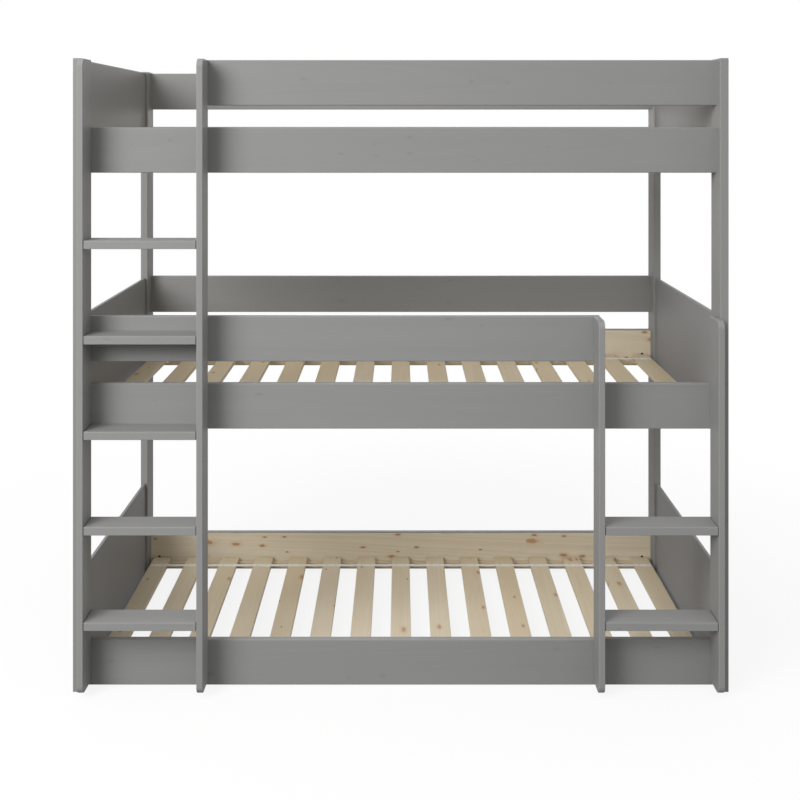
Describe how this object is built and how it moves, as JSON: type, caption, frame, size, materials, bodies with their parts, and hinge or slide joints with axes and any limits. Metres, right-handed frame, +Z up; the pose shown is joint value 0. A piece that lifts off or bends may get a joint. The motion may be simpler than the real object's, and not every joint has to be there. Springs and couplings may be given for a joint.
{
  "type": "bunk bed",
  "caption": "Bunk bed of stacked tiers in grey lacquered boards, with guard rails, end panels, roll-out pine slat mats and plank-step ladders at both ends.",
  "frame": {"origin": "on the floor, under the middle of the whole bed with its ladders", "axes": "+X along the bed from the tall ladder to the short one, +Y from the ladders to the back, +Z up"},
  "size_m": [2.07, 1.074, 2],
  "materials": {
    "grey_lacquer": "satin grey lacquer on pine, faint grain and knots showing through",
    "half_lacquered_pine": "satin grey lacquer outside and on the edges, bare planed pine on the face towards the mattress",
    "planed_pine": "bare planed pine with small knots",
    "woven_tape": "pale woven webbing",
    "staple_wire": "dull wire",
    "zinc_steel": "zinc plated",
    "beech": "plain fluted beech, unfinished"
  },
  "bodies": {
    "bed_frame": {"front_left_post": "grey_lacquer", "front_right_post": "grey_lacquer", "back_left_post": "grey_lacquer", "back_right_post": "grey_lacquer", "left_end_panel_bottom": "grey_lacquer", "right_end_panel_bottom": "grey_lacquer", "left_end_panel_middle": "grey_lacquer", "right_end_panel_middle": "grey_lacquer", "left_end_panel_top": "grey_lacquer", "right_end_panel_top": "grey_lacquer", "front_rail_bottom": "half_lacquered_pine", "back_rail_bottom": "half_lacquered_pine", "front_rail_middle": "half_lacquered_pine", "back_rail_middle": "half_lacquered_pine", "front_rail_top": "half_lacquered_pine", "back_rail_top": "half_lacquered_pine", "front_guard_middle": "grey_lacquer", "back_guard_middle": "grey_lacquer", "front_guard_top": "grey_lacquer", "back_guard_top": "grey_lacquer", "tall_ladder_outer_stile": "grey_lacquer", "tall_ladder_inner_stile": "grey_lacquer", "short_ladder_inner_stile": "grey_lacquer", "short_ladder_outer_stile": "grey_lacquer", "tall_ladder_step_1": "grey_lacquer", "tall_ladder_step_2": "grey_lacquer", "tall_ladder_step_3": "grey_lacquer", "tall_ladder_step_4": "grey_lacquer", "tall_ladder_step_5": "grey_lacquer", "short_ladder_step_1": "grey_lacquer", "short_ladder_step_2": "grey_lacquer", "front_ledger_bottom": "planed_pine", "back_ledger_bottom": "planed_pine", "front_ledger_middle": "planed_pine", "back_ledger_middle": "planed_pine", "front_ledger_top": "planed_pine", "back_ledger_top": "planed_pine", "frame_bolts": "zinc_steel", "barrel_nuts": "zinc_steel", "rail_dowels": "beech", "step_dowels": "beech", "ladder_screws": "zinc_steel", "ledger_screws": "zinc_steel"},
    "slat_mat_bottom": {"slats_bottom": "planed_pine", "slat_tapes_bottom": "woven_tape", "tape_staples_bottom": "staple_wire"},
    "slat_mat_middle": {"slats_middle": "planed_pine", "slat_tapes_middle": "woven_tape", "tape_staples_middle": "staple_wire"},
    "slat_mat_top": {"slats_top": "planed_pine", "slat_tapes_top": "woven_tape", "tape_staples_top": "staple_wire"}
  },
  "joints": [
    {"name": "slat_mat_lift_bottom", "type": "slide", "parent": "bed_frame", "child": "slat_mat_bottom", "axis": [0, 0, 1], "range_m": [0, 0.25]},
    {"name": "slat_mat_lift_middle", "type": "slide", "parent": "bed_frame", "child": "slat_mat_middle", "axis": [0, 0, 1], "range_m": [0, 0.4]},
    {"name": "slat_mat_lift_top", "type": "slide", "parent": "bed_frame", "child": "slat_mat_top", "axis": [0, 0, 1], "range_m": [0, 0.4]}
  ]
}
